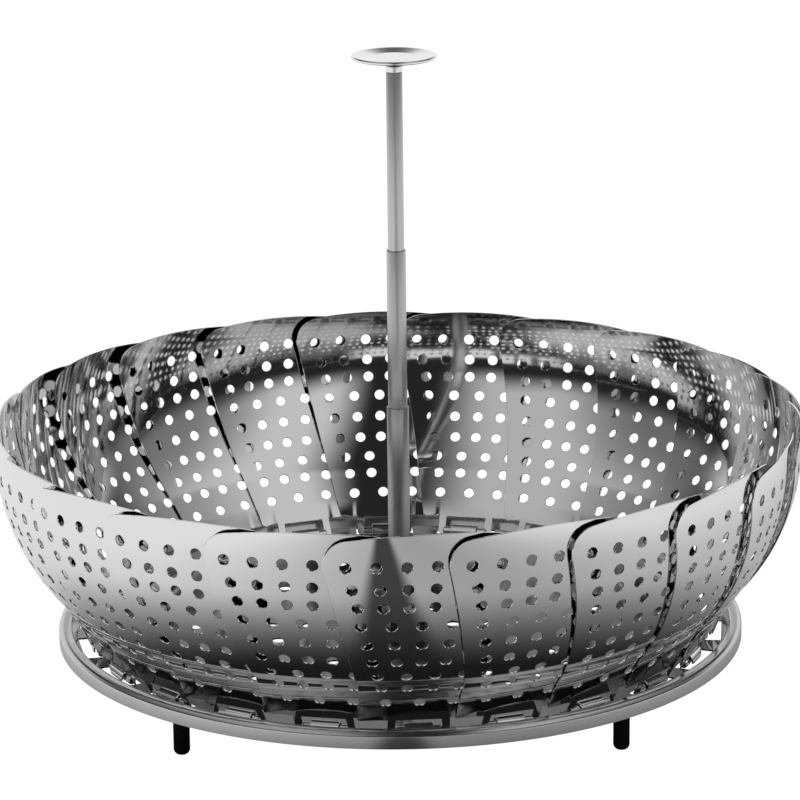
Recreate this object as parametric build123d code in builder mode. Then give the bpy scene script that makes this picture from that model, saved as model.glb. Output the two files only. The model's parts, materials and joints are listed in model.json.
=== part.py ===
from build123d import *

import math
import os

# Steamer insert: a round pressed base with a raised rim, a ring of leaves hooked on
# lugs of the base, a telescopic handle with a disc knob, and three rubber feet.
# Lengths are in mm. The origin is on the ground under the middle, and +Z is up.

# Driving sizes
base_diameter = 180.0
foot_height = 22.5
leaf_count = 22
first_leaf = 3.0

# Base: one pressed sheet with a raised rim and a window at each leaf
base_sheet = 0.5
rim_height = 4.4
rim_corner = 1.3
rim_crown = 1.6
rim_slope_run = 1.6
plate_rise = 0.4
window_gap = 0.5
base_hole_diameter = 4.0
base_ring_counts = (6, 12)
ring_radius_shares = (0.267, 0.489)

# Leaf: a bent sheet with a pad at its foot and a twist against its neighbours
leaf_sheet = 0.4
hinge_inset = 9.8
hinge_rise = 1.3
pad_angle = 55.5
tip_angle = 83.3
pad_length = 9.7
fold_length = 27.9
blade_length = 36.4
blade_panels = 2
pad_width = 15.2
foot_width = 21.8
tip_width = 48.8
tip_drop = 1.4
tip_corner = 6.0
tip_corner_facets = 2
foot_lift = 2.4
tail_lift = 3.4
leaf_twist = 8.6
side_crease = 8.0
side_fall_share = 0.14
bar_diameter = 2.2
bar_sides = 8
bar_root = 0.4
slot_height = 3.9
slot_width = 11.4
hole_diameter = 3.0
hole_sides = 6
hole_rows = (1, 2, 3)
hole_pitch = 9.6

# Lug: a strip of the base that hooks over the bar at the leaf's foot
lug_width = 7.0
hook_gap = 0.3
hook_end_angle = -28.0
hook_facets = 4
hook_root = 1.0

# Handle: nut and bolt on the base, three tubes and the knob
nut_flats = 9.0
nut_height = 5.0
bolt_flats = 7.0
bolt_head = 1.8
bolt_reach = 8.0
tube_diameter = 5.8
tube_wall = 0.25
running_gap = 0.05
stop_gap = 0.1
mouth_length = 1.2
mouth_step = 0.1
flare_length = 7.0
lower_reach = 60.8
middle_reach = 102.8
top_reach = 149.5
knob_diameter = 21.8
knob_sheet = 0.9
knob_dish = 0.5
dish_share = 0.45
neck_height = 3.4
neck_top_diameter = 8.4
neck_waist_share = 0.4
neck_plug = 6.0

# Feet: rubber legs with a neck that plugs the plate
foot_count = 3
foot_circle_share = 0.728
first_foot = 60.0
foot_diameter = 4.3
foot_round = 1.0
foot_neck_diameter = 2.6
seat_gap = 0.05

overrun = 1.0
full_turn = 360.0
half_turn = 180.0
quarter_turn = 90.0

# Places worked out from the sizes
base_radius = base_diameter / 2
plate_bottom = foot_height + plate_rise
plate_top = plate_bottom + base_sheet
rim_top = foot_height + rim_height
wall_radius = base_radius - base_sheet / 2
crown_height = rim_top - base_sheet / 2
crown_start = wall_radius - rim_corner
crown_end = crown_start - rim_crown
floor_radius = crown_end - rim_slope_run
floor_height = plate_bottom + base_sheet / 2
hinge_radius = base_radius - hinge_inset
hinge_height = foot_height + hinge_rise
foot_circle = base_diameter * foot_circle_share
ring_radii = [base_radius * share for share in ring_radius_shares]
hook_turn = (half_turn - hook_end_angle) / hook_facets
hook_bore_radius = bar_diameter / 2 + hook_gap
hook_radius = (hook_bore_radius + base_sheet / 2) / math.cos(math.radians(hook_turn / 2))
window_width = pad_width + 2 * window_gap
window_start = hinge_radius - hook_radius - base_sheet / 2
window_end = math.sqrt((floor_radius - base_sheet) ** 2 - (window_width / 2) ** 2)
lean = math.tan(math.radians(leaf_twist))
cut_depth = tip_width * (lean + side_fall_share)
leaf_step = full_turn / leaf_count
leaf_angles = [first_leaf + leaf_step * index for index in range(leaf_count)]
tube_radius = tube_diameter / 2
lower_bore = tube_radius - tube_wall
lower_top = foot_height + lower_reach
middle_radius = lower_bore - mouth_step - running_gap
middle_bore = middle_radius - tube_wall
middle_top = foot_height + middle_reach
middle_foot = lower_top - mouth_length - stop_gap - flare_length
top_radius = middle_bore - mouth_step - running_gap
top_bore = top_radius - tube_wall
top_top = foot_height + top_reach
top_foot = middle_top - mouth_length - stop_gap - flare_length
bolt_radius = lower_bore - seat_gap
foot_angles = [first_foot + full_turn / foot_count * index for index in range(foot_count)]


def leaf_bends():
    """Radius and height of a leaf's bends, up its middle, with the slope of each panel."""
    sweep = tip_angle - pad_angle
    panel_length = blade_length / blade_panels
    below = bar_diameter / 2
    turn = math.radians(pad_angle)
    points = [(hinge_radius - below * math.cos(turn), hinge_height - below * math.sin(turn))]
    points.append(
        (hinge_radius + fold_length * math.cos(turn), hinge_height + fold_length * math.sin(turn))
    )
    slopes = [pad_angle]
    for index in range(blade_panels):
        slope = pad_angle + sweep * (index + 1) / blade_panels
        turn = math.radians(slope)
        last_radius, last_height = points[-1]
        points.append(
            (
                last_radius + panel_length * math.cos(turn),
                last_height + panel_length * math.sin(turn),
            )
        )
        slopes.append(slope)
    return points, slopes


def panel_plane(start, end, slope):
    """Plane on the middle of a panel: x along the rim, y up the panel, z outward."""
    turn = math.radians(slope)
    middle_radius = (start[0] + end[0]) / 2
    middle_height = (start[1] + end[1]) / 2
    return Plane(
        origin=(middle_radius, 0, middle_height),
        x_dir=(0, 1, 0),
        z_dir=(math.sin(turn), 0, -math.cos(turn)),
    )


def stretched(start, end, spare):
    """The end of a line after it is made longer by spare."""
    length = math.dist(start, end)
    return tuple(e + (e - b) * spare / length for b, e in zip(start, end))


def mitred_side(points, reach):
    """The points of a bent line moved sideways by reach, with mitred bends."""
    turns = [
        math.atan2(after[1] - before[1], after[0] - before[0])
        for before, after in zip(points, points[1:])
    ]
    moved = []
    for index, (radius, height) in enumerate(points):
        before = turns[max(index - 1, 0)]
        after = turns[min(index, len(turns) - 1)]
        middle = (before + after) / 2
        stretch = reach / math.cos((after - before) / 2)
        moved.append((radius - stretch * math.sin(middle), height + stretch * math.cos(middle)))
    return moved


def strip_outline(points, sheet):
    """Closed outline of a bent strip of sheet whose middle follows the points."""
    return mitred_side(points, sheet / 2) + mitred_side(points, -sheet / 2)[::-1]


def strip_section(points, sheet):
    """Face of a bent strip in the upright plane through the middle."""
    with BuildSketch(Plane.XZ, mode=Mode.PRIVATE) as section:
        with BuildLine():
            Polyline(*strip_outline(points, sheet), close=True)
        make_face()
    return section.sketch


def ring_places(radius, angles):
    """Places on a circle, counted counter-clockwise from -Y, with x pointing outward."""
    places = []
    for angle in angles:
        turn = math.radians(angle)
        spot = (radius * math.sin(turn), -radius * math.cos(turn), 0)
        places.append(Location(spot, (0, 0, angle - quarter_turn)))
    return places


def leaf_outline(length):
    """Corners of a leaf, flat on its chord: straight sides, faceted tips and a crowned top."""
    side_turn = math.degrees(math.atan((tip_width - foot_width) / 2 / length))
    corner_turn = quarter_turn + side_turn
    tip_point = (tip_width / 2, length / 2 - tip_drop)
    setback = tip_corner / math.tan(math.radians((half_turn - corner_turn) / 2))
    centre = (tip_point[0] - setback, tip_point[1] - tip_corner)
    tips = []
    for index in range(tip_corner_facets + 1):
        turn = math.radians(-side_turn + corner_turn * index / tip_corner_facets)
        tips.append(
            (centre[0] + tip_corner * math.cos(turn), centre[1] + tip_corner * math.sin(turn))
        )
    foot = [(foot_width / 2, -length / 2 - cut_depth), (foot_width / 2, -length / 2)]
    right = foot + tips
    top = [(0, length / 2)]
    return right + top + [(-across, up) for across, up in reversed(right)]


def turned_part(outline):
    """Solid of revolution about the handle's axis from a closed (radius, height) outline."""
    with BuildPart(mode=Mode.PRIVATE) as turned:
        with BuildSketch(Plane.XZ):
            with BuildLine():
                Polyline(*outline, close=True)
            make_face()
        revolve(axis=Axis.Z)
    return turned.part


def tube_outline(foot, top, bore, radius, step):
    """Upper wall of a tube whose bore narrows by step at its mouth."""
    return [
        (bore, foot),
        (radius, foot),
        (radius, top),
        (bore - step, top),
        (bore - step, top - mouth_length),
        (bore, top - mouth_length),
    ]


def flared_outline(foot, top, bore, radius, outer_bore, step):
    """A tube with a flared foot that runs in the bore of the tube below."""
    flare = outer_bore - running_gap
    outline = [
        (bore, foot),
        (flare, foot),
        (flare, foot + flare_length),
        (radius, foot + flare_length),
    ]
    if step:
        return outline + tube_outline(foot, top, bore, radius, step)[2:]
    return outline + [(radius, top), (bore, top)]


# Lug: the strip that rises at a window's inner edge and hooks over the leaf's bar
hook_line = [
    (window_start - hook_root, floor_height),
    (hinge_radius - hook_radius, floor_height),
]
for index in range(hook_facets + 1):
    turn = math.radians(half_turn - hook_turn * index)
    hook_line.append(
        (hinge_radius + hook_radius * math.cos(turn), hinge_height + hook_radius * math.sin(turn))
    )
lug = extrude(
    strip_section(hook_line, base_sheet), amount=lug_width / 2, both=True, mode=Mode.PRIVATE
)

# Base: revolved sheet with windows, lugs, steam holes and the bores of its fastenings
base_line = [
    (bolt_radius + seat_gap, floor_height),
    (floor_radius, floor_height),
    (crown_end, crown_height),
    (crown_start, crown_height),
    (wall_radius, crown_height - rim_corner),
    (wall_radius, foot_height),
]
with BuildPart() as base_plate:
    with BuildSketch(Plane.XZ):
        with BuildLine():
            Polyline(*strip_outline(base_line, base_sheet), close=True)
        make_face()
    revolve(axis=Axis.Z)
    with BuildSketch(Plane.XY.offset(plate_bottom - overrun)):
        with Locations(*ring_places((window_start + window_end) / 2, leaf_angles)):
            Rectangle(window_end - window_start, window_width)
        with Locations(*ring_places(foot_circle / 2, foot_angles)):
            Circle(foot_neck_diameter / 2 + seat_gap)
        for radius, count in zip(ring_radii, base_ring_counts):
            with PolarLocations(radius, count):
                RegularPolygon(base_hole_diameter / 2, hole_sides)
    extrude(amount=base_sheet + 2 * overrun, mode=Mode.SUBTRACT)
    for place in ring_places(0, leaf_angles):
        add(lug.moved(place))
base_plate.part.label = "base_plate"

# Leaf: a band bent up the middle, pushed sideways in three flats, then cut to its outline
bends, slopes = leaf_bends()
spare_foot = stretched(bends[1], bends[0], cut_depth / 2)
spare_tip = stretched(bends[-2], bends[-1], cut_depth / 2)
band = strip_section([spare_foot] + bends[1:-1] + [spare_tip], leaf_sheet)
chord = math.dist(bends[0], bends[-1])
chord_slope = math.degrees(math.atan2(bends[-1][1] - bends[0][1], bends[-1][0] - bends[0][0]))
chord_plane = panel_plane(bends[0], bends[-1], chord_slope)
pad_plane = panel_plane(bends[0], bends[1], pad_angle)
pad_foot = -(fold_length + bar_diameter / 2) / 2
bar_line = pad_foot + bar_diameter / 2
foot_edge = bar_line + foot_lift
tail_edge = bar_line + tail_lift
foot_cut = [
    (-foot_width, pad_foot - cut_depth),
    (-foot_width, foot_edge),
    (-pad_width / 2, foot_edge),
    (-pad_width / 2, pad_foot),
    (pad_width / 2, pad_foot),
    (pad_width / 2, bar_line + pad_length),
    (foot_width / 2, tail_edge),
    (foot_width, tail_edge),
    (foot_width, pad_foot - cut_depth),
]
with BuildPart() as leaf:
    for side, start in ((1, -side_crease), (1, side_crease), (-1, -side_crease)):
        outer = start * side > 0
        width = tip_width / 2 + overrun - side_crease if outer else 2 * side_crease
        shift = -lean * side - (side_fall_share if outer else 0)
        flank = band.moved(Location((-lean * start, start, 0)))
        extrude(flank, amount=width * math.hypot(1, shift), dir=(shift, side, 0))
    with BuildSketch(chord_plane):
        with BuildLine():
            Polyline(*leaf_outline(chord), close=True)
        make_face()
    extrude(amount=cut_depth, both=True, mode=Mode.INTERSECT)
    with BuildSketch(pad_plane):
        with BuildLine():
            Polyline(*foot_cut, close=True)
        make_face()
        with Locations((0, pad_foot + (bar_diameter + slot_height) / 2)):
            Rectangle(slot_width, bar_diameter + slot_height)
    extrude(amount=cut_depth, both=True, mode=Mode.SUBTRACT)
    for index, count in enumerate(hole_rows):
        with BuildSketch(panel_plane(bends[index], bends[index + 1], slopes[index])):
            with GridLocations(hole_pitch, hole_pitch, count, 1):
                RegularPolygon(hole_diameter / 2, hole_sides)
        extrude(amount=cut_depth, both=True, mode=Mode.SUBTRACT)
    with BuildSketch(Plane.XZ):
        with Locations((hinge_radius, hinge_height)):
            RegularPolygon(bar_diameter / 2, bar_sides)
    extrude(amount=slot_width / 2 + bar_root, both=True)
leaves = []
for index, place in enumerate(ring_places(0, leaf_angles)):
    copy = leaf.part.moved(place)
    copy.label = f"leaf_{index + 1:02d}"
    leaves.append(copy)

# Nut: screwed round the foot of the handle, on the plate
with BuildPart() as handle_nut:
    with BuildSketch(Plane.XY.offset(plate_top)):
        RegularPolygon(nut_flats / 2, 6, major_radius=False)
        Circle(tube_radius + seat_gap, mode=Mode.SUBTRACT)
    extrude(amount=nut_height)
handle_nut.part.label = "handle_nut"

# Bolt: its head holds the plate from below, and its shank fills the foot of the tube
with BuildPart() as handle_bolt:
    with BuildSketch(Plane.XY.offset(plate_bottom - bolt_head)):
        RegularPolygon(bolt_flats / 2, 6, major_radius=False)
    extrude(amount=bolt_head)
    with BuildSketch(Plane.XY.offset(plate_bottom)):
        Circle(bolt_radius)
    extrude(amount=bolt_reach)
handle_bolt.part.label = "handle_bolt"

# Lower tube: stands on the plate, with a drawn-in mouth that keeps the next tube in
lower_tube_part = turned_part(
    tube_outline(plate_top, lower_top, lower_bore, tube_radius, mouth_step)
)
lower_tube_part.label = "lower_tube"

# Middle and top tubes: a flared foot runs in the bore below, the body in its mouth
middle_tube_part = turned_part(
    flared_outline(middle_foot, middle_top, middle_bore, middle_radius, lower_bore, mouth_step)
)
middle_tube_part.label = "middle_tube"
top_tube_part = turned_part(
    flared_outline(top_foot, top_top, top_bore, top_radius, middle_bore, 0)
)
top_tube_part.label = "top_tube"

# Knob: a dished disc on a waisted neck, plugged into the top tube
neck_waist = top_radius + (neck_top_diameter / 2 - top_radius) * neck_waist_share / 2
knob_base = top_top + neck_height
dish_radius = knob_diameter / 2 * dish_share
knob_outline = [
    (0, top_top - neck_plug),
    (top_bore - seat_gap, top_top - neck_plug),
    (top_bore - seat_gap, top_top),
    (top_radius, top_top),
    (neck_waist, top_top + neck_height / 2),
    (neck_top_diameter / 2, knob_base),
    (knob_diameter / 2, knob_base),
    (knob_diameter / 2, knob_base + knob_sheet),
    (dish_radius, knob_base + knob_sheet - knob_dish),
    (0, knob_base + knob_sheet - knob_dish),
]
knob_part = turned_part(knob_outline)
knob_part.label = "knob"

# Feet: rubber legs down to the ground, each with a neck that plugs the plate
with BuildPart() as foot:
    with BuildSketch():
        Circle(foot_diameter / 2)
    extrude(amount=plate_bottom)
    chamfer(foot.faces().sort_by(Axis.Z)[0].edges(), foot_round)
    with BuildSketch(Plane.XY.offset(plate_bottom)):
        Circle(foot_neck_diameter / 2)
    extrude(amount=base_sheet)
feet = []
for index, spot in enumerate(ring_places(foot_circle / 2, foot_angles)):
    copy = foot.part.moved(spot)
    copy.label = f"foot_{index + 1}"
    feet.append(copy)

os.makedirs("parts", exist_ok=True)
pieces = [base_plate.part, handle_nut.part, handle_bolt.part, lower_tube_part]
pieces += [middle_tube_part, top_tube_part, knob_part]
for piece in pieces + leaves + feet:
    export_step(piece, f"parts/{piece.label}.step")
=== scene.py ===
import json
import math

import bpy
from mathutils import Matrix, Vector
from mathutils.geometry import delaunay_2d_cdt


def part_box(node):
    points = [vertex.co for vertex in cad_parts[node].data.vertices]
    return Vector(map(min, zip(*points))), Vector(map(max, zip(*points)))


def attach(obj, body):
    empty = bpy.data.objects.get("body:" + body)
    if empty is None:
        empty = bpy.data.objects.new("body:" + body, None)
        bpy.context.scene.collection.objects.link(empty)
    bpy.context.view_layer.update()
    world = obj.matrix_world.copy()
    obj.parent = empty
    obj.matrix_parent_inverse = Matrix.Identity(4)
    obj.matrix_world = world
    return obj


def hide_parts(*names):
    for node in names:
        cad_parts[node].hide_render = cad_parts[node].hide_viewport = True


# The looks of a folding steamer insert, in metres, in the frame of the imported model.
# Each leaf is a smooth perforated sheet that stands for its plainer solid.

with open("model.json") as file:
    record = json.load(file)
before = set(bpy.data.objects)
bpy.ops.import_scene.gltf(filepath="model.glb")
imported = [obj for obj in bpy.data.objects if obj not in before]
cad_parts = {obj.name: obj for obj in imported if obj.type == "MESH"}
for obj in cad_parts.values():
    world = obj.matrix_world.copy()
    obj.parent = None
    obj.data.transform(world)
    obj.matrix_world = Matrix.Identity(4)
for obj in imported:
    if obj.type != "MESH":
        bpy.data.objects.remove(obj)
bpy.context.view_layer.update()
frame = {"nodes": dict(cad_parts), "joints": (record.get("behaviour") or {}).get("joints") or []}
scene = bpy.context.scene
joints = {joint["name"]: joint for joint in frame["joints"]}

MM = 0.001
FULL_TURN = 2 * math.pi

# Places taken from the frame
leaf_nodes = sorted(name for name in frame["nodes"] if name.startswith("leaf_"))
foot_nodes = sorted(name for name in frame["nodes"] if name.startswith("foot_"))
base_low, base_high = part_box("base_plate")
foot_low, foot_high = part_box(foot_nodes[0])
lower_low, lower_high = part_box("lower_tube")
middle_low, middle_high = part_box("middle_tube")
top_low, top_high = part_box("top_tube")
knob_low, knob_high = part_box("knob")
nut_low, nut_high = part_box("handle_nut")
bolt_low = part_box("handle_bolt")[0]
hinge_place = Vector(joints["leaf_01_hinge"]["pos_m"])
hinge_radius = math.hypot(hinge_place.x, hinge_place.y)
hinge_height = hinge_place.z
base_radius = base_high.x
rim_bottom = base_low.z
plate_top = nut_low.z

# Leaf: slopes are in degrees, and lengths run across and up the sheet from the hinge's axis.
# A lean is a slope along the rim, and a crown multiplies the square of the distance across.
LEAF_SHEET = 0.4 * MM
PAD_SLOPE = 58.5
STRIP_SLOPE = 56.2
BLADE_SLOPE = 49.0
TIP_SLOPE = 93.2
PAD_TOP = 9.7 * MM
STRIP_TOP = 18.2 * MM
LEAF_TOP = 64.25 * MM
BEND = 0.5 * MM
TOP_SLANT = 0.0153
TOP_CROWN = 2.95
TOP_SHARE = 0.6
TOP_STEP = 3 * MM
FOOT_LEAN = 0.03
FOOT_LEAN_END = 6 * MM
TIP_LEAN = 0.0674
TIP_LEAN_START = 15.0 * MM
TIP_LEAN_END = 50.0 * MM
LEAF_CROWN = 5.83
CROWN_START = 2 * MM
CROWN_END = 10 * MM
LEAF_FOOT_HALF = 10.9 * MM
LEAF_TIP_HALF = 24.8 * MM
LEAF_CORNER = 6.1 * MM
FLANK_HALF = 14.9 * MM
FLANK_FOOT = 4.2 * MM
FLANK_TOP = 17.8 * MM
FLANK_CORNER = 0.5 * MM
TAIL_FOOT = 4.0 * MM
TAIL_CORNER = 0.6 * MM
TAIL_REACH = 0.2 * MM
PAD_HALF = 7.6 * MM
PAD_SIDE = 1.6 * MM
PAD_CORNER = 1.0 * MM
PAD_NOTCH = 0.4 * MM
NOTCH_TOP = 4.8 * MM
FOOT_HALF = 1.0 * MM
SLOT_HALF = 5.7 * MM
SLOT_TOP = 4.2 * MM
SLOT_CORNER = 0.4 * MM

# The leaf's rows of holes: distance up the sheet, number of holes, and pitch
HOLE_RADIUS = 1.5 * MM
HOLE_ROWS = [
    (56.35 * MM, 6, 7.28 * MM),
    (50.55 * MM, 6, 6.68 * MM),
    (45.55 * MM, 6, 6.16 * MM),
    (40.16 * MM, 5, 7.29 * MM),
    (34.09 * MM, 5, 6.56 * MM),
    (28.01 * MM, 5, 5.88 * MM),
    (22.26 * MM, 4, 6.95 * MM),
    (17.13 * MM, 4, 6.24 * MM),
    (11.28 * MM, 3, 8.21 * MM),
]

# Bar rolled at the leaf's foot
BAR_RADIUS = 1.1 * MM
BAR_END_SHARE = 0.72
BAR_BEVEL = 0.3 * MM
BAR_PAST_SLOT = 0.5 * MM

# Lug, and the hook at its end round the bar
SHEET = 0.5 * MM
LUG_HALF = 3.5 * MM
LUG_CORNER = 1.0 * MM
HOOK_RADIUS = 1.65 * MM
HOOK_END = math.radians(-28.0)

# Base
RIM_FLOOR_RADIUS = 85.25 * MM
RIM_HEIGHT = 4.4 * MM
RIM_CROWN = 1.6 * MM
RIM_CORNER = 1.3 * MM
RIM_SLOPE_CORNER = 0.9 * MM
RIM_OVERLAP = 0.3 * MM
WINDOW_HALF = 8.1 * MM
WINDOW_GAP = 0.1 * MM
WINDOW_CORNER = 0.5 * MM
BOLT_HOLE_RADIUS = 2.7 * MM
BASE_HOLE_RADIUS = 2.0 * MM
BASE_RING_RADII = [14 * MM, 24 * MM, 34 * MM, 44 * MM, 54 * MM]
BASE_RING_STEP = 6

# Handle: each tube is thinner than the one below, and its mouth is drawn in
TUBE_STEP = 0.4 * MM
TUBE_MOUTH_WALL = 0.35 * MM
TOP_MOUTH_WALL = 0.25 * MM
TUBE_BEVEL = 0.12 * MM
MOUTH_LENGTH = 1.2 * MM
MOUTH_STEP = 0.1 * MM
FLARE_LENGTH = 7 * MM
NUT_FLATS = 9 * MM
BOLT_FLATS = 7 * MM
BOLT_HEAD = 1.8 * MM
HEXAGON_BEVEL = 0.4 * MM
HEXAGON_END_SHARE = 0.93

# Knob: a dished disc on a neck that plugs the top tube
KNOB_SHEET = 0.9 * MM
KNOB_EDGE = 0.3 * MM
DISH_START_SHARE = 0.9
DISH_SHARE = 0.5
DISH_DEPTH = 0.5 * MM
DISH_MIDDLE_DEPTH = 0.6 * MM
DISH_EDGE_CORNER = 0.5 * MM
DISH_CORNER = 3 * MM
PLUG_RADIUS = 1.75 * MM
NECK_FOOT_RADIUS = 2.15 * MM
NECK_RADIUS = 2.3 * MM
NECK_HEIGHT = 1.6 * MM
NECK_CORNER = 1.0 * MM
NECK_TOP_RADIUS = 4.6 * MM
NECK_TOP_CORNER = 1.5 * MM

# Feet
FOOT_ROUND = 1.6 * MM
FOOT_TOP_ROUND = 0.2 * MM
FOOT_NECK_RADIUS = 1.3 * MM

# Fineness of the meshes
FINE_FACETS = 8
PLAIN_FACETS = 6
COARSE_FACETS = 3
HOLE_SIDES = 20
BOLT_HOLE_SIDES = 32
BAR_SIDES = 28
TUBE_SIDES = 96
KNOB_SIDES = 160
FOOT_SIDES = 48
RIM_SIDES = 360
SHARP_ANGLE = 28.0
BAR_SHARP_ANGLE = 30.0
KNOB_SHARP_ANGLE = 40.0
EDGE_BEVEL = 0.09 * MM
TINY = MM / 1000
PROBE = 0.02 * MM
SAME_POINT = 1e-7
LINE_STEP = 0.1 * MM
LINE_BELOW = 12 * MM
LINE_ABOVE = 2 * MM
LEAF_EDGE_STEP = 1.2 * MM
BLADE_GRID = 1.6 * MM
BLADE_GRID_START = 3 * MM
BLADE_MARGIN = 0.5 * MM
PAD_ROWS = 0.6 * MM
PAD_ROWS_PAST = 2 * MM
PAD_COLUMNS = 0.8 * MM
PAD_MARGIN = 0.2 * MM
LUG_STEP = 0.3 * MM
LUG_COLUMNS = 1 * MM
LUG_MARGIN = 0.1 * MM


def smooth_step(value, low, high):
    """0 below low, 1 above high, with a smooth rise between them."""
    share = min(max((value - low) / (high - low), 0.0), 1.0)
    return share * share * (3 - 2 * share)


def spread(low, high, pitch):
    """Even steps from low to high, about a pitch apart."""
    count = max(round(abs(high - low) / pitch), 1)
    return [low + (high - low) * index / count for index in range(count + 1)]


# Mesh helpers


def new_piece(name, vertices, faces, smooth=True):
    """A mesh object from its vertices and faces."""
    mesh = bpy.data.meshes.new(name)
    mesh.from_pydata([tuple(v) for v in vertices], [], faces)
    mesh.polygons.foreach_set("use_smooth", [smooth] * len(mesh.polygons))
    mesh.update()
    piece = bpy.data.objects.new(name, mesh)
    scene.collection.objects.link(piece)
    return piece


def circle(across, up, radius, sides):
    """Points of a circle, counter-clockwise."""
    return [
        (
            across + radius * math.cos(FULL_TURN * index / sides),
            up + radius * math.sin(FULL_TURN * index / sides),
        )
        for index in range(sides)
    ]


def rounded(corners, radii, facets):
    """An outline whose corners are rounded by arcs. A radius of 0 keeps its corner."""
    points = []
    count = len(corners)
    for index, radius in enumerate(radii):
        here = Vector(corners[index])
        if not radius:
            points.append(tuple(here))
            continue
        to_last = (Vector(corners[index - 1]) - here).normalized()
        to_next = (Vector(corners[(index + 1) % count]) - here).normalized()
        half = to_last.angle(to_next) / 2
        setback = radius / math.tan(half)
        centre = here + (to_last + to_next).normalized() * radius / math.sin(half)
        start = here + to_last * setback - centre
        end = here + to_next * setback - centre
        turn = start.angle_signed(end)
        for step in range(facets + 1):
            arm = Matrix.Rotation(-turn * step / facets, 2) @ start
            points.append(tuple(centre + arm))
    return points


def divided(loop, longest):
    """A closed loop whose long sides are cut into even steps."""
    points = []
    for start, end in zip(loop, loop[1:] + loop[:1]):
        a, b = Vector(start), Vector(end)
        count = max(math.ceil((b - a).length / longest), 1)
        points.extend(tuple(a.lerp(b, index / count)) for index in range(count))
    return points


def turned_loop(loop, turn):
    """A flat loop turned about the middle."""
    c, s = math.cos(turn), math.sin(turn)
    return [(x * c - y * s, x * s + y * c) for x, y in loop]


def inside(point, loop):
    """Whether a point lies inside a closed loop."""
    x, y = point
    within = False
    for (x0, y0), (x1, y1) in zip(loop, loop[1:] + loop[:1]):
        if (y0 > y) != (y1 > y) and x < (x1 - x0) * (y - y0) / (y1 - y0) + x0:
            within = not within
    return within


def distance_to(point, loop):
    """Distance from a point to a closed loop."""
    spot = Vector(point)
    least = math.inf
    for start, end in zip(loop, loop[1:] + loop[:1]):
        a, b = Vector(start), Vector(end)
        along = b - a
        share = min(max((spot - a).dot(along) / along.length_squared, 0), 1)
        least = min(least, (spot - a - along * share).length)
    return least


def grid_points(outline, holes, rows, columns, margin):
    """Grid points inside an outline that keep a margin from it and from its holes."""
    chosen = []
    for up in rows:
        for across in columns:
            point = (across, up)
            if not inside(point, outline) or distance_to(point, outline) < margin:
                continue
            if any(inside(point, hole) or distance_to(point, hole) < margin for hole in holes):
                continue
            chosen.append(point)
    return chosen


def is_sheet(triangle, points, loop_of, outline):
    """Whether a triangle belongs to the sheet, and not to a hole or to the space outside."""
    numbers = {loop_of[index] for index in triangle}
    if len(numbers) > 1 or -1 in numbers:
        return True
    if numbers != {0}:
        return False
    middle = sum((points[index] for index in triangle), Vector((0, 0))) / 3
    return inside(middle, outline)


def sheet_mesh(name, loops, grid, place, sheet):
    """Bent sheet with holes. The flat loops, of which the first is the outline, and the grid
    points are triangulated, set in space by place(across, up), which returns a point and
    a normal, and given their thickness and a small bevel along each edge."""
    flat = []
    edges = []
    owner = []
    for number, loop in enumerate(loops):
        start = len(flat)
        flat.extend(loop)
        edges.extend((start + i, start + (i + 1) % len(loop)) for i in range(len(loop)))
        owner.extend([number] * len(loop))
    flat.extend(grid)
    owner.extend([-1] * len(grid))
    points, _, triangles, origins, _, _ = delaunay_2d_cdt(
        [Vector(p) for p in flat], edges, [], 0, SAME_POINT, True
    )
    loop_of = [owner[source[0]] for source in origins]
    triangles = [t for t in triangles if is_sheet(t, points, loop_of, loops[0])]

    # both sides of the sheet
    placed = [place(p.x, p.y) for p in points]
    count = len(points)
    vertices = []
    faces = []
    normals = []
    for side in (0.5, -0.5):
        vertices.extend(point + normal * sheet * side for point, normal in placed)
    for triangle in triangles:
        faces.append(tuple(triangle))
        normals.append([placed[i][1] for i in triangle])
        back = tuple(count + i for i in reversed(triangle))
        faces.append(back)
        normals.append([-placed[i - count][1] for i in back])

    # edges between the sides, along each border of the flat triangles
    used = {}
    for triangle in triangles:
        for a, b in zip(triangle, triangle[1:] + triangle[:1]):
            used[(a, b)] = used.get((a, b), 0) + 1
    borders = [(a, b) for a, b in used if (b, a) not in used]
    after = {a: b for a, b in borders}
    before = {b: a for a, b in borders}
    ring = {}
    depth = sheet / 2 - EDGE_BEVEL
    for index in after:
        inward = points[after[index]] - points[before[index]]
        outward = Vector((inward.y, -inward.x)).normalized()
        spot = points[index] + outward * EDGE_BEVEL
        point, normal = place(spot.x, spot.y)
        ring[index] = (len(vertices), len(vertices) + 1)
        vertices.extend((point + normal * depth, point - normal * depth))
    for a, b in borders:
        for quad in (
            (b, a, ring[a][0], ring[b][0]),
            (ring[b][0], ring[a][0], ring[a][1], ring[b][1]),
            (ring[b][1], ring[a][1], count + a, count + b),
        ):
            faces.append(quad)
            p, q, r, s = (vertices[i] for i in quad)
            face_normal = (r - p).cross(s - q).normalized()
            normals.append([face_normal] * 4)
    piece = new_piece(name, vertices, faces)
    piece.data.normals_split_custom_set([tuple(n) for corner in normals for n in corner])
    return piece


def surface(point_at):
    """A place function for sheet_mesh from a function that gives only the point."""

    def place(across, up):
        tangent = point_at(across + PROBE, up) - point_at(across - PROBE, up)
        rise = point_at(across, up + PROBE) - point_at(across, up - PROBE)
        normal = tangent.cross(rise).normalized()
        return point_at(across, up), normal

    return place


def strip(points, sheet):
    """Closed outline of a bent strip of sheet whose middle follows the points."""
    outer = []
    inner = []
    for index, (x, y) in enumerate(points):
        x0, y0 = points[max(index - 1, 0)]
        x1, y1 = points[min(index + 1, len(points) - 1)]
        along = Vector((x1 - x0, y1 - y0)).normalized()
        outer.append((x - along.y * sheet / 2, y + along.x * sheet / 2))
        inner.append((x + along.y * sheet / 2, y - along.x * sheet / 2))
    return outer + inner[::-1]


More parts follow.
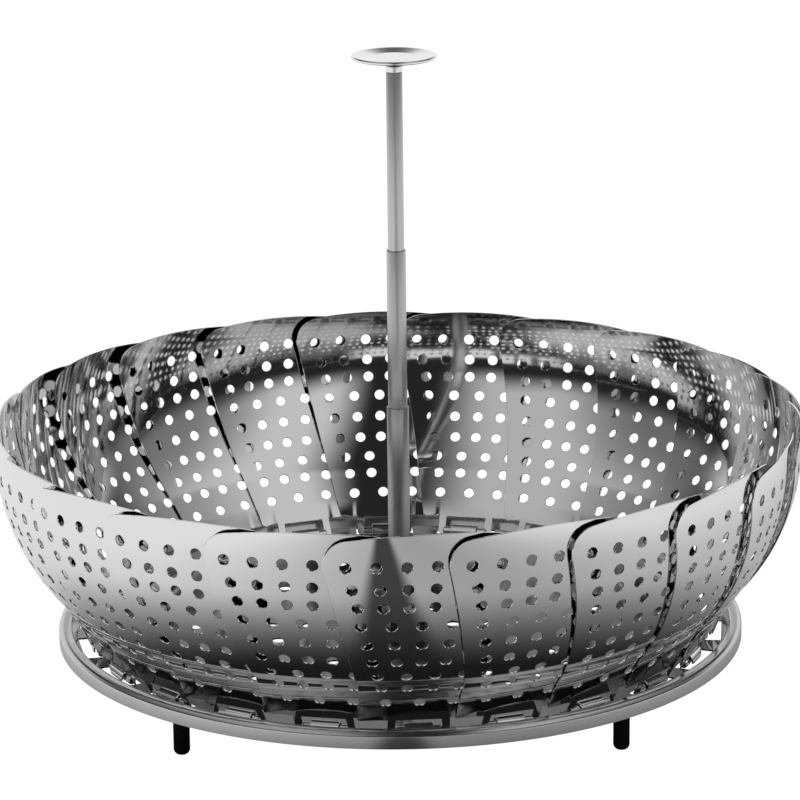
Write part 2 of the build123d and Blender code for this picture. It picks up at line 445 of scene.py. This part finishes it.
def turned(name, outline, segments, sharp=SHARP_ANGLE):
    """Solid of revolution about the Z axis from a closed (radius, height) outline."""
    vertices = []
    rings = []
    for radius, height in outline:
        if radius < TINY:
            rings.append([len(vertices)])
            vertices.append((0, 0, height))
            continue
        rings.append(list(range(len(vertices), len(vertices) + segments)))
        for index in range(segments):
            turn = FULL_TURN * index / segments
            vertices.append((radius * math.cos(turn), radius * math.sin(turn), height))
    faces = []
    for low, high in zip(rings, rings[1:] + rings[:1]):
        if len(low) == len(high) == 1:
            continue
        for i in range(segments):
            j = (i + 1) % segments
            if len(low) == 1:
                faces.append((low[0], high[j], high[i]))
            elif len(high) == 1:
                faces.append((low[i], low[j], high[0]))
            else:
                faces.append((low[i], low[j], high[j], high[i]))
    piece = new_piece(name, vertices, faces)
    piece.data.set_sharp_from_angle(angle=math.radians(sharp))
    return piece


# Materials


def new_material(name):
    """A material with its node tree and its shader."""
    material = bpy.data.materials.new(name)
    material.use_nodes = True
    tree = material.node_tree
    return material, tree, tree.nodes["Principled BSDF"]


def object_noise(tree, scale, detail, stretch=(1, 1, 1)):
    """Noise over the object's own coordinates, stretched along the axes."""
    coordinates = tree.nodes.new("ShaderNodeTexCoord")
    mapping = tree.nodes.new("ShaderNodeMapping")
    mapping.inputs["Scale"].default_value = stretch
    tree.links.new(coordinates.outputs["Object"], mapping.inputs["Vector"])
    noise = tree.nodes.new("ShaderNodeTexNoise")
    noise.inputs["Scale"].default_value = scale
    noise.inputs["Detail"].default_value = detail
    tree.links.new(mapping.outputs["Vector"], noise.inputs["Vector"])
    return noise.outputs["Fac"]


def steel(name, grey, roughness, grain, grain_depth, stretch=(1, 1, 1), anisotropy=0.0):
    """Bare steel with a fine grain: one noise moves its roughness and its bump."""
    material, tree, shader = new_material(name)
    shader.inputs["Metallic"].default_value = 1.0
    shader.inputs["Base Color"].default_value = (grey, grey, grey, 1)
    shader.inputs["Anisotropic"].default_value = anisotropy
    noise = object_noise(tree, grain, 4, stretch)
    rough = tree.nodes.new("ShaderNodeMapRange")
    rough.inputs["To Min"].default_value = roughness[0]
    rough.inputs["To Max"].default_value = roughness[1]
    tree.links.new(noise, rough.inputs["Value"])
    tree.links.new(rough.outputs["Result"], shader.inputs["Roughness"])
    bump = tree.nodes.new("ShaderNodeBump")
    bump.inputs["Strength"].default_value = 1.0
    bump.inputs["Distance"].default_value = grain_depth
    tree.links.new(noise, bump.inputs["Height"])
    tree.links.new(bump.outputs["Normal"], shader.inputs["Normal"])
    return material


def rubber(name, darkest, lightest, roughness, grain):
    """Smooth dark rubber with faint mottling."""
    material, tree, shader = new_material(name)
    ramp = tree.nodes.new("ShaderNodeValToRGB")
    for element, colour in zip(ramp.color_ramp.elements, (darkest, lightest)):
        element.color = (*colour, 1)
    tree.links.new(object_noise(tree, grain, 2), ramp.inputs["Fac"])
    tree.links.new(ramp.outputs["Color"], shader.inputs["Base Color"])
    shader.inputs["Roughness"].default_value = roughness
    return material


polished_steel = steel(
    "polished_steel", grey=0.80, roughness=(0.03, 0.07), grain=60, grain_depth=0.003 * MM
)
satin_steel = steel(
    "satin_steel", grey=0.56, roughness=(0.16, 0.21), grain=400, grain_depth=0.0004 * MM
)
# The base's floor is the same sheet as its rim, but its steel gets a much darker grey: painted
# shade for the inside of the bowl under the leaves.
floor_steel_painted_shade = steel(
    "floor_steel_painted_shade", grey=0.27, roughness=(0.07, 0.11), grain=90, grain_depth=0.002 * MM
)
knob_steel = steel(
    "knob_steel", grey=0.86, roughness=(0.07, 0.13), grain=300, grain_depth=0.001 * MM
)
brushed_steel = steel(
    "brushed_steel",
    grey=0.62,
    roughness=(0.24, 0.36),
    grain=1200,
    grain_depth=0.006 * MM,
    stretch=(1, 1, 0.02),
    anisotropy=0.5,
)
black_rubber = rubber(
    "black_rubber",
    darkest=(0.012, 0.014, 0.014),
    lightest=(0.034, 0.038, 0.038),
    roughness=0.14,
    grain=900,
)


def finish_piece(piece, material, slot, body, *nodes):
    """Gives a piece its material, lets it ride on its body, and hides the model's parts that it
    stands for. The slot is not used.
    """
    piece.data.materials.clear()
    piece.data.materials.append(material)
    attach(piece, body)
    if nodes:
        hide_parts(*nodes)


# Leaves, made in a frame of their own: x outward, y along the rim, z up


def leaf_slope(up, on_pad):
    """Slope of the leaf's middle line at a distance up the sheet, in degrees."""
    slope = PAD_SLOPE if on_pad else STRIP_SLOPE
    slope += (STRIP_SLOPE - slope) * smooth_step(up, PAD_TOP - 2 * BEND, PAD_TOP)
    slope += (BLADE_SLOPE - STRIP_SLOPE) * smooth_step(up, STRIP_TOP - BEND, STRIP_TOP + BEND)
    return slope + (TIP_SLOPE - BLADE_SLOPE) * max(up - STRIP_TOP, 0) / (LEAF_TOP - STRIP_TOP)


def leaf_line(on_pad):
    """Middle line of a leaf: where it starts up the sheet, and its (radius, height) points
    at even steps. It is exact at the pad's top, where the pad and its sides part."""
    turn = math.radians(PAD_SLOPE)
    along = Vector((math.cos(turn), math.sin(turn)))
    pad_top = Vector((hinge_radius, hinge_height)) + along * PAD_TOP
    below = [pad_top]
    up = PAD_TOP
    while up > PAD_TOP - LINE_BELOW:
        turn = math.radians(leaf_slope(up - LINE_STEP / 2, on_pad))
        below.append(below[-1] - Vector((math.cos(turn), math.sin(turn))) * LINE_STEP)
        up -= LINE_STEP
    above = [pad_top]
    up = PAD_TOP
    while up < LEAF_TOP + LINE_ABOVE:
        turn = math.radians(leaf_slope(up + LINE_STEP / 2, on_pad))
        above.append(above[-1] + Vector((math.cos(turn), math.sin(turn))) * LINE_STEP)
        up += LINE_STEP
    first = PAD_TOP - LINE_STEP * (len(below) - 1)
    return first, below[::-1] + above[1:]


leaf_lines = {True: leaf_line(True), False: leaf_line(False)}


def on_line(up, on_pad):
    """Point of the middle line at a distance up the sheet."""
    first, line = leaf_lines[on_pad]
    place = (up - first) / LINE_STEP
    index = min(max(int(place), 0), len(line) - 2)
    return line[index].lerp(line[index + 1], place - index)


def leaf_point(across, up):
    """Point of a leaf's middle surface."""
    on_pad = 1 - smooth_step(abs(across), PAD_HALF, PAD_HALF + PAD_SIDE)
    middle = on_line(up, False).lerp(on_line(up, True), on_pad)
    lean = FOOT_LEAN * smooth_step(up, 0, FOOT_LEAN_END)
    lean += (TIP_LEAN - FOOT_LEAN) * smooth_step(up, TIP_LEAN_START, TIP_LEAN_END)
    crown = LEAF_CROWN * smooth_step(up, CROWN_START, CROWN_END)
    radius = middle.x - lean * across - crown * across * across
    return Vector((radius, across, middle.y))


def leaf_half_width(up):
    """Half the width of a leaf at a distance up the sheet."""
    share = (up + FOOT_HALF) / (LEAF_TOP + FOOT_HALF)
    return LEAF_FOOT_HALF + (LEAF_TIP_HALF - LEAF_FOOT_HALF) * share


def top_edge(across):
    """How far up the sheet the leaf's top edge lies."""
    return LEAF_TOP + TOP_SLANT * across - TOP_CROWN * across * across


def leaf_loops():
    """The flat outline of a leaf, and its slot and round holes."""
    tail_half = leaf_half_width(TAIL_FOOT)
    top_half = TOP_SHARE * LEAF_TIP_HALF
    top = [(across, top_edge(across)) for across in spread(top_half, -top_half, TOP_STEP)]
    corners_and_radii = [
        ((-PAD_HALF, -FOOT_HALF), PAD_CORNER),
        ((PAD_HALF, -FOOT_HALF), PAD_CORNER),
        ((PAD_HALF, NOTCH_TOP), 0),
        ((tail_half - TAIL_CORNER, TAIL_FOOT), 0),
        ((tail_half + TAIL_REACH, TAIL_FOOT + TAIL_CORNER), 0),
        ((LEAF_TIP_HALF, top_edge(LEAF_TIP_HALF)), LEAF_CORNER),
        *((point, 0) for point in top),
        ((-LEAF_TIP_HALF, top_edge(-LEAF_TIP_HALF)), LEAF_CORNER),
        ((-FLANK_HALF, FLANK_TOP), 0),
        ((-FLANK_HALF, FLANK_FOOT), FLANK_CORNER),
        ((-PAD_HALF - PAD_NOTCH, FLANK_FOOT), 0),
        ((-PAD_HALF, FLANK_FOOT + PAD_NOTCH), 0),
    ]
    corners, radii = zip(*corners_and_radii)
    outline = divided(rounded(corners, radii, FINE_FACETS), LEAF_EDGE_STEP)
    slot = rounded(
        [
            (-SLOT_HALF, FOOT_HALF),
            (SLOT_HALF, FOOT_HALF),
            (SLOT_HALF, SLOT_TOP),
            (-SLOT_HALF, SLOT_TOP),
        ],
        [SLOT_CORNER] * 4,
        COARSE_FACETS,
    )
    holes = [slot]
    for up, count, pitch in HOLE_ROWS:
        for index in range(count):
            across = (index - (count - 1) / 2) * pitch
            holes.append(circle(across, up, HOLE_RADIUS, HOLE_SIDES))
    return outline, holes


def make_leaf():
    """One leaf in its own frame. The others share its mesh."""
    outline, holes = leaf_loops()
    half = LEAF_TIP_HALF
    rows = spread(PAD_TOP + BLADE_GRID_START, LEAF_TOP, BLADE_GRID)
    columns = spread(-half, half, BLADE_GRID)
    grid = grid_points(outline, holes, rows, columns, BLADE_MARGIN)
    # a finer grid on the pad and beside it, with columns along the bends at its sides
    rows = spread(-FOOT_HALF, PAD_TOP + PAD_ROWS_PAST, PAD_ROWS)
    beside = spread(PAD_HALF + MM, half, PAD_COLUMNS)
    bends = [PAD_HALF + PAD_SIDE / 3, PAD_HALF + PAD_SIDE * 2 / 3, PAD_HALF + PAD_SIDE]
    columns = spread(-PAD_HALF, PAD_HALF, PAD_COLUMNS) + beside + [-c for c in beside]
    columns += bends + [-c for c in bends]
    grid += grid_points(outline, holes, rows, columns, PAD_MARGIN)
    return sheet_mesh("leaf", [outline] + holes, grid, surface(leaf_point), LEAF_SHEET)


def make_bar():
    """The rolled bar about the hinge's axis, in the leaf's own frame."""
    half = SLOT_HALF + BAR_PAST_SLOT
    profile = [(BAR_RADIUS * BAR_END_SHARE, -half), (BAR_RADIUS, -half + BAR_BEVEL)]
    profile += [(radius, -along) for radius, along in reversed(profile)]
    vertices = []
    for radius, along in profile:
        for x, z in circle(hinge_radius, hinge_height, radius, BAR_SIDES):
            vertices.append((x, along, z))
    faces = []
    for ring in range(len(profile) - 1):
        for i in range(BAR_SIDES):
            j = (i + 1) % BAR_SIDES
            low, high = ring * BAR_SIDES, (ring + 1) * BAR_SIDES
            faces.append((low + i, high + i, high + j, low + j))
    faces.append(tuple(range(BAR_SIDES)))
    faces.append(tuple(reversed(range(len(vertices) - BAR_SIDES, len(vertices)))))
    bar = new_piece("bar", vertices, faces)
    bar.data.set_sharp_from_angle(angle=math.radians(BAR_SHARP_ANGLE))
    return bar


def leaf_turn(node):
    """How far a leaf's own frame is turned about Z from the model's."""
    x, y, _ = joints[f"{node}_hinge"]["pos_m"]
    return math.atan2(x, -y) - math.pi / 2


def at_leaf(shape, name, node):
    """A copy of a shape, with the same mesh, turned to where a leaf stands."""
    piece = bpy.data.objects.new(name, shape.data)
    scene.collection.objects.link(piece)
    piece.matrix_world = Matrix.Rotation(leaf_turn(node), 4, "Z")
    return piece


bar_shape = make_bar()
for node in leaf_nodes:
    bar = at_leaf(bar_shape, f"{node}_bar", node)
    finish_piece(bar, polished_steel, "polished_steel", node)
bpy.data.objects.remove(bar_shape)

leaf_shape = make_leaf()
for node in leaf_nodes:
    leaf = at_leaf(leaf_shape, f"{node}_sheet", node)
    finish_piece(leaf, polished_steel, "polished_steel", node, node)
bpy.data.objects.remove(leaf_shape)


# Base: lugs, floor and rim

plate_middle = plate_top - SHEET / 2


def lug_point(across, along):
    """Middle surface of a lug: a short rise from the floor, and a hook round the bar."""
    start = hinge_radius - HOOK_RADIUS
    rise = hinge_height - plate_middle
    if along < 0:
        return Vector((start + along, across, plate_middle))
    if along < rise:
        return Vector((start, across, plate_middle + along))
    turn = math.pi - (along - rise) / HOOK_RADIUS
    return Vector(
        (
            hinge_radius + HOOK_RADIUS * math.cos(turn),
            across,
            hinge_height + HOOK_RADIUS * math.sin(turn),
        )
    )


def make_lug():
    """One lug in its leaf's own frame."""
    length = hinge_height - plate_middle + HOOK_RADIUS * (math.pi - HOOK_END)
    outline = rounded(
        [(-LUG_HALF, 0), (LUG_HALF, 0), (LUG_HALF, length), (-LUG_HALF, length)],
        [0, 0, LUG_CORNER, LUG_CORNER],
        PLAIN_FACETS,
    )
    outline = divided(outline, LUG_STEP)
    rows = spread(0, length, LUG_STEP)
    columns = spread(-LUG_HALF, LUG_HALF, LUG_COLUMNS)
    grid = grid_points(outline, [], rows, columns, LUG_MARGIN)
    return sheet_mesh("lug", [outline], grid, surface(lug_point), SHEET)


def floor_point(across, up):
    """The base's floor is flat."""
    return Vector((across, up, plate_middle)), Vector((0, 0, 1))


def make_floor():
    """The base's floor, with its windows, its bolt hole and its rings of steam holes."""
    window_start = hinge_radius - HOOK_RADIUS - SHEET / 2 - WINDOW_GAP
    window_end = math.sqrt((RIM_FLOOR_RADIUS - WINDOW_GAP) ** 2 - WINDOW_HALF**2)
    window = rounded(
        [
            (window_start, -WINDOW_HALF),
            (window_end, -WINDOW_HALF),
            (window_end, WINDOW_HALF),
            (window_start, WINDOW_HALF),
        ],
        [WINDOW_CORNER] * 4,
        COARSE_FACETS,
    )
    loops = [circle(0, 0, RIM_FLOOR_RADIUS, RIM_SIDES)]
    loops += [turned_loop(window, leaf_turn(node)) for node in leaf_nodes]
    loops.append(circle(0, 0, BOLT_HOLE_RADIUS, BOLT_HOLE_SIDES))
    for index, radius in enumerate(BASE_RING_RADII):
        for spot in circle(0, 0, radius, BASE_RING_STEP * (index + 1)):
            loops.append(circle(*spot, BASE_HOLE_RADIUS, HOLE_SIDES))
    return sheet_mesh("base_floor", loops, [], floor_point, SHEET)


def make_rim():
    """The base's rim: a slope up from the floor, a crown, and a wall that goes down."""
    crown = rim_bottom + RIM_HEIGHT - SHEET / 2
    wall = base_radius - SHEET / 2
    line = rounded(
        [
            (RIM_FLOOR_RADIUS - RIM_OVERLAP, plate_middle),
            (RIM_FLOOR_RADIUS, plate_middle),
            (wall - RIM_CORNER - RIM_CROWN, crown),
            (wall, crown),
            (wall, rim_bottom),
        ],
        [0, 0, RIM_SLOPE_CORNER, RIM_CORNER, 0],
        FINE_FACETS,
    )
    return turned("base_rim", strip(line, SHEET), RIM_SIDES)


lug_shape = make_lug()
for node in leaf_nodes:
    lug = at_leaf(lug_shape, f"lug_of_{node}", node)
    finish_piece(lug, polished_steel, "satin_steel", "base")
bpy.data.objects.remove(lug_shape)

# The floor takes the darker steel, which is painted shade inside the bowl.
finish_piece(make_floor(), floor_steel_painted_shade, "satin_steel", "base", "base_plate")
finish_piece(make_rim(), satin_steel, "satin_steel", "base", "base_plate")


# Handle


def tube(name, low, high, radius, mouth_wall, body, node, flare_radius=None):
    """A tube of the handle, with a drawn-in and softened mouth, and a flare at its foot."""
    bore = radius - mouth_wall
    foot = [(bore + MOUTH_STEP, low), (radius, low)]
    if flare_radius:
        foot = [
            (bore + MOUTH_STEP, low),
            (flare_radius, low),
            (flare_radius, low + FLARE_LENGTH),
            (radius, low + FLARE_LENGTH),
        ]
    mouth = [
        (radius, high - 2 * TUBE_BEVEL),
        (radius - TUBE_BEVEL * 0.3, high - TUBE_BEVEL * 0.6),
        (radius - TUBE_BEVEL, high),
        (bore, high),
        (bore, high - MOUTH_LENGTH),
        (bore + MOUTH_STEP, high - MOUTH_LENGTH),
    ]
    piece = turned(name, foot + mouth, TUBE_SIDES)
    finish_piece(piece, brushed_steel, "brushed_steel", body, node)


lower_radius = lower_high.x
middle_radius = lower_radius - TUBE_STEP
top_radius = lower_radius - 2 * TUBE_STEP
tube(
    "lower_tube_shell",
    lower_low.z,
    lower_high.z,
    lower_radius,
    TUBE_MOUTH_WALL,
    "base",
    "lower_tube",
)
tube(
    "middle_tube_shell",
    middle_low.z,
    middle_high.z,
    middle_radius,
    TUBE_MOUTH_WALL,
    "middle_section",
    "middle_tube",
    middle_high.x,
)
tube(
    "top_tube_shell",
    top_low.z,
    top_high.z,
    top_radius,
    TOP_MOUTH_WALL,
    "top_section",
    "top_tube",
    top_high.x,
)


def make_knob():
    """The disc knob with its neck and the plug below it."""
    radius = knob_high.x
    disc_top = knob_high.z
    disc_low = disc_top - KNOB_SHEET
    neck_foot = top_high.z
    corners_and_radii = [
        ((0, knob_low.z), 0),
        ((PLUG_RADIUS, knob_low.z), 0),
        ((PLUG_RADIUS, neck_foot), 0),
        ((NECK_FOOT_RADIUS, neck_foot), 0),
        ((NECK_RADIUS, neck_foot + NECK_HEIGHT), NECK_CORNER),
        ((NECK_TOP_RADIUS, disc_low), NECK_TOP_CORNER),
        ((radius, disc_low), KNOB_EDGE),
        ((radius, disc_top), KNOB_EDGE),
        ((radius * DISH_START_SHARE, disc_top), DISH_EDGE_CORNER),
        ((radius * DISH_SHARE, disc_top - DISH_DEPTH), DISH_CORNER),
        ((0, disc_top - DISH_MIDDLE_DEPTH), 0),
    ]
    corners, radii = zip(*corners_and_radii)
    outline = rounded(corners, radii, PLAIN_FACETS)
    return turned("knob_disc", outline, KNOB_SIDES, KNOB_SHARP_ANGLE)


finish_piece(make_knob(), knob_steel, "brushed_steel", "top_section", "knob")


def hexagon(name, low, high, flats, node):
    """A hexagonal nut or bolt head with chamfered ends."""
    corner = flats / math.sqrt(3)
    end = corner * HEXAGON_END_SHARE
    vertices = []
    for radius, height in (
        (end, low),
        (corner, low + HEXAGON_BEVEL),
        (corner, high - HEXAGON_BEVEL),
        (end, high),
    ):
        vertices.extend((x, y, height) for x, y in circle(0, 0, radius, 6))
    faces = []
    for ring in range(3):
        for i in range(6):
            j = (i + 1) % 6
            faces.append((ring * 6 + i, ring * 6 + j, ring * 6 + 6 + j, ring * 6 + 6 + i))
    faces.append(tuple(reversed(range(6))))
    faces.append(tuple(range(18, 24)))
    piece = new_piece(name, vertices, faces, smooth=False)
    finish_piece(piece, satin_steel, "satin_steel", "base", node)


hexagon("handle_nut_shell", nut_low.z, nut_high.z, NUT_FLATS, "handle_nut")
hexagon("handle_bolt_head", bolt_low.z, bolt_low.z + BOLT_HEAD, BOLT_FLATS, "handle_bolt")


# Feet

foot_radius = (foot_high.x - foot_low.x) / 2
foot_top = plate_top - SHEET
for node in foot_nodes:
    low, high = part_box(node)
    centre = (low + high) / 2
    outline = rounded(
        [
            (0, 0),
            (foot_radius, 0),
            (foot_radius, foot_top),
            (FOOT_NECK_RADIUS, foot_top),
            (FOOT_NECK_RADIUS, high.z),
            (0, high.z),
        ],
        [0, FOOT_ROUND, FOOT_TOP_ROUND, 0, 0, 0],
        FINE_FACETS,
    )
    foot = turned(f"{node}_leg", outline, FOOT_SIDES)
    foot.matrix_world = Matrix.Translation((centre.x, centre.y, 0))
    finish_piece(foot, black_rubber, "black_rubber", "base", node)


# Camera

CAMERA_DISTANCE = 1012.7 * MM
CAMERA_HEIGHT_ANGLE = math.radians(15.896)
AIM = Vector((0.58 * MM, 0, 85.03 * MM))
ROLL = math.radians(-0.651)
LENS = 174.97
SENSOR = 36.0
CLIP_END = 20

camera_data = bpy.data.cameras.new("camera")
camera_data.sensor_width = SENSOR
camera_data.lens = LENS
camera_data.clip_end = CLIP_END
camera = bpy.data.objects.new("camera", camera_data)
scene.collection.objects.link(camera)
camera.location = AIM + CAMERA_DISTANCE * Vector(
    (0, -math.cos(CAMERA_HEIGHT_ANGLE), math.sin(CAMERA_HEIGHT_ANGLE))
)
look = (AIM - camera.location).to_track_quat("-Z", "Y")
camera.rotation_euler = (look.to_matrix() @ Matrix.Rotation(ROLL, 3, "Z")).to_euler()
scene.camera = camera

# Studio. A span is where a value changes smoothly, and its levels are those at its two ends.
# The spans of the world are in shares of the direction's length, those of the table in metres.
LAMP_PLACE = (0.25, 0.15, 1.3)
LAMP_TARGET = (0, 0, 0.06)
LAMP_SIZE = 0.6
LAMP_POWER = 3.0

ROOM_LEVEL = 0.02
BACKDROP_LEVEL = 0.9
BACKDROP_BEHIND_SPAN = (0.25, 0.7)
BACKDROP_HEIGHT_SPAN = (0.28, 0.42)
SCREEN_AHEAD_SPAN = (0.05, 0.6)
SCREEN_HEIGHT_SPAN = (0.12, 0.3)
SCREEN_LEFT_SPAN = (-0.4, -0.02)
SCREEN_LEFT_LEVEL = 0.5
SCREEN_RIGHT_SPAN = (0.23, 0.5)
SCREEN_RIGHT_LEVEL = 0.62
SCREEN_FALL_SPAN = (0.62, 0.95)
SCREEN_FALL_LEVEL = 0.3

TABLE_REACH = 6.0
TABLE_GREY = 0.85
TABLE_ROUGHNESS = 0.9
# The table mostly glows. For the camera it is evenly white; where the steel mirrors it, its glow
# is painted light, with a painted shadow close to the object, brighter to both sides and fading
# far away.
TABLE_GLOW_SHARE = 0.93
TABLE_CAMERA_LEVEL = 1.1
SHADOW_AHEAD = 0.026
SHADOW_SPAN = (0.07, 0.165)
FADE_SPAN = (0.9, 3.0)
FADE_LEVEL = 0.25
LEFT_SPAN = (-0.25, 0.06)
LEFT_LEVELS = (0.95, 0.42)
RIGHT_SPAN = (0.06, 0.34)
RIGHT_LEVELS = (0.0, 0.46)
# A painted dark strip in the table's glow, running forward from the object: painted shade where
# the steel mirrors the table.
PAINTED_DARK_STRIP_MIDDLE = 1 * MM
PAINTED_DARK_STRIP_HALF = 17 * MM
PAINTED_DARK_STRIP_AHEAD_SPAN = (-0.1, 0.0)
PAINTED_DARK_STRIP_EDGE_SPAN = (-0.007, 0.007)
PAINTED_DARK_STRIP_LEVEL = 0.08


def add_lamp():
    """A square lamp above, for the rubber and the table. The steel does not mirror it,
    because its square would show there as a hard patch."""
    light = bpy.data.lights.new("lamp_above", "AREA")
    light.shape = "RECTANGLE"
    light.size = LAMP_SIZE
    light.size_y = LAMP_SIZE
    light.energy = LAMP_POWER
    lamp = bpy.data.objects.new("lamp_above", light)
    scene.collection.objects.link(lamp)
    lamp.location = LAMP_PLACE
    towards = Vector(LAMP_TARGET) - Vector(LAMP_PLACE)
    lamp.rotation_euler = towards.to_track_quat("-Z", "Y").to_euler()
    lamp.visible_glossy = False


def maths(tree, operation, first, second=0.0):
    """A maths node whose inputs are sockets or plain numbers."""
    node = tree.nodes.new("ShaderNodeMath")
    node.operation = operation
    for socket, value in zip(node.inputs, (first, second)):
        if isinstance(value, (int, float)):
            socket.default_value = value
        else:
            tree.links.new(value, socket)
    return node.outputs["Value"]


def product(tree, *values):
    """The product of sockets and plain numbers."""
    result = values[0]
    for value in values[1:]:
        result = maths(tree, "MULTIPLY", result, value)
    return result


def ramp_over(tree, value, span, levels=(0.0, 1.0)):
    """A smooth change from the first level to the second over a span of a value."""
    node = tree.nodes.new("ShaderNodeMapRange")
    node.interpolation_type = "SMOOTHSTEP"
    for name, number in zip(("From Min", "From Max", "To Min", "To Max"), (*span, *levels)):
        node.inputs[name].default_value = number
    tree.links.new(value, node.inputs["Value"])
    return node.outputs["Result"]


def coordinates_of(tree, kind):
    """Texture coordinates of a kind, whole and as their X, Y and Z."""
    whole = tree.nodes.new("ShaderNodeTexCoord").outputs[kind]
    parts = tree.nodes.new("ShaderNodeSeparateXYZ")
    tree.links.new(whole, parts.inputs["Vector"])
    return whole, parts.outputs["X"], parts.outputs["Y"], parts.outputs["Z"]


def studio_world():
    """A dark room with a white backdrop that stands low behind the object, and in front
    a wide grey screen over the table, with a dark gap behind the camera."""
    world = bpy.data.worlds.new("studio")
    scene.world = world
    world.use_nodes = True
    tree = world.node_tree
    _, across, back, up = coordinates_of(tree, "Generated")
    backdrop = product(
        tree,
        ramp_over(tree, back, BACKDROP_BEHIND_SPAN),
        ramp_over(tree, up, BACKDROP_HEIGHT_SPAN, (1.0, 0.0)),
        BACKDROP_LEVEL,
    )
    right = ramp_over(tree, across, SCREEN_RIGHT_SPAN, (0.0, SCREEN_RIGHT_LEVEL))
    left = ramp_over(tree, across, SCREEN_LEFT_SPAN, (SCREEN_LEFT_LEVEL, 0.0))
    outward = maths(tree, "ABSOLUTE", across)
    screen = product(
        tree,
        maths(tree, "ADD", right, left),
        ramp_over(tree, outward, SCREEN_FALL_SPAN, (1.0, SCREEN_FALL_LEVEL)),
        ramp_over(tree, back, SCREEN_AHEAD_SPAN, (1.0, 0.0)),
        ramp_over(tree, up, SCREEN_HEIGHT_SPAN),
    )
    light = maths(tree, "ADD", backdrop, screen)
    light = maths(tree, "ADD", light, ROOM_LEVEL)
    background = tree.nodes["Background"]
    tree.links.new(light, background.inputs["Strength"])
    background.inputs["Color"].default_value = (1, 1, 1, 1)


def painted_table_glow(tree):
    """How bright the table glows where the steel mirrors it, which is painted light: a painted
    shadow dims it close by, it is brighter to both sides, and a painted dark strip runs forward
    from the object."""
    whole, across, back, _ = coordinates_of(tree, "Object")
    moved = tree.nodes.new("ShaderNodeVectorMath")
    moved.operation = "ADD"
    moved.inputs[1].default_value = (0, SHADOW_AHEAD, 0)
    tree.links.new(whole, moved.inputs[0])
    distance = tree.nodes.new("ShaderNodeVectorMath")
    distance.operation = "LENGTH"
    tree.links.new(moved.outputs["Vector"], distance.inputs[0])
    away = distance.outputs["Value"]
    left = ramp_over(tree, across, LEFT_SPAN, LEFT_LEVELS)
    right = ramp_over(tree, across, RIGHT_SPAN, RIGHT_LEVELS)
    off_strip = maths(tree, "ABSOLUTE", maths(tree, "SUBTRACT", across, PAINTED_DARK_STRIP_MIDDLE))
    half = ramp_over(tree, back, PAINTED_DARK_STRIP_AHEAD_SPAN, (PAINTED_DARK_STRIP_HALF, 0.0))
    beside = maths(tree, "SUBTRACT", off_strip, half)
    return product(
        tree,
        ramp_over(tree, away, SHADOW_SPAN),
        ramp_over(tree, away, FADE_SPAN, (1.0, FADE_LEVEL)),
        maths(tree, "ADD", left, right),
        ramp_over(tree, beside, PAINTED_DARK_STRIP_EDGE_SPAN, (PAINTED_DARK_STRIP_LEVEL, 1.0)),
    )


def studio_table():
    """A table top that is white for the camera, and whose glow, where the steel mirrors it, is
    painted light with a painted shadow.
    """
    reach = TABLE_REACH
    table = new_piece(
        "floor",
        [(-reach, -reach, 0), (reach, -reach, 0), (reach, reach, 0), (-reach, reach, 0)],
        [(0, 1, 2, 3)],
    )
    material, tree, shader = new_material("floor_paper")
    shader.inputs["Base Color"].default_value = (TABLE_GREY, TABLE_GREY, TABLE_GREY, 1)
    shader.inputs["Roughness"].default_value = TABLE_ROUGHNESS
    shader.inputs["Specular IOR Level"].default_value = 0.0
    level = tree.nodes.new("ShaderNodeMix")
    level.data_type = "FLOAT"
    path = tree.nodes.new("ShaderNodeLightPath")
    tree.links.new(path.outputs["Is Camera Ray"], level.inputs["Factor"])
    tree.links.new(painted_table_glow(tree), level.inputs["A"])
    level.inputs["B"].default_value = TABLE_CAMERA_LEVEL
    glow = tree.nodes.new("ShaderNodeEmission")
    glow.inputs["Color"].default_value = (1, 1, 1, 1)
    tree.links.new(level.outputs["Result"], glow.inputs["Strength"])
    mix = tree.nodes.new("ShaderNodeMixShader")
    mix.inputs["Fac"].default_value = TABLE_GLOW_SHARE
    tree.links.new(shader.outputs["BSDF"], mix.inputs[1])
    tree.links.new(glow.outputs["Emission"], mix.inputs[2])
    tree.links.new(mix.outputs["Shader"], tree.nodes["Material Output"].inputs["Surface"])
    table.data.materials.append(material)


add_lamp()
studio_world()
studio_table()
scene.view_settings.view_transform = "Standard"
